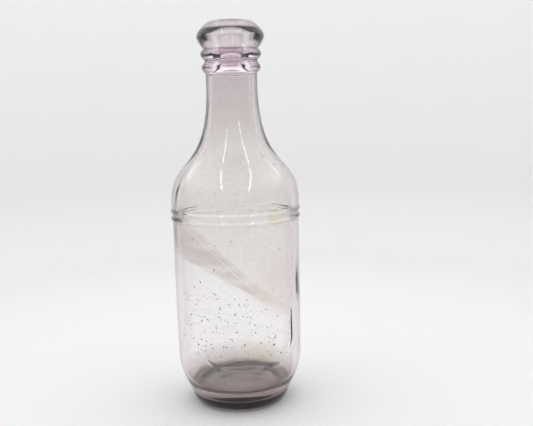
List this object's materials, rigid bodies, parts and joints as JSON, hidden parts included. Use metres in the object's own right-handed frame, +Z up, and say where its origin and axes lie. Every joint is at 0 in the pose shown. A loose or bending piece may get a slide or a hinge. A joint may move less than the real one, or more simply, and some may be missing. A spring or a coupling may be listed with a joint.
{
  "type": "glass milk bottle",
  "caption": "Empty open glass milk bottle with a domed lip, ringed neck, sloping shoulder with thin ridges, straight round body and recessed foot.",
  "frame": {"origin": "centre of the flat ring that the bottle stands on", "axes": "+Z up along the bottle's axis, from the foot to the mouth; +Y away from the side that faced the viewer, +X to that viewer's right"},
  "size_m": [0.077, 0.077, 0.226],
  "materials": {
    "glass": "smooth moulded clear glass, faintly violet, with small seed bubbles"
  },
  "bodies": {
    "root": {"bottle": "glass"}
  },
  "joints": []
}
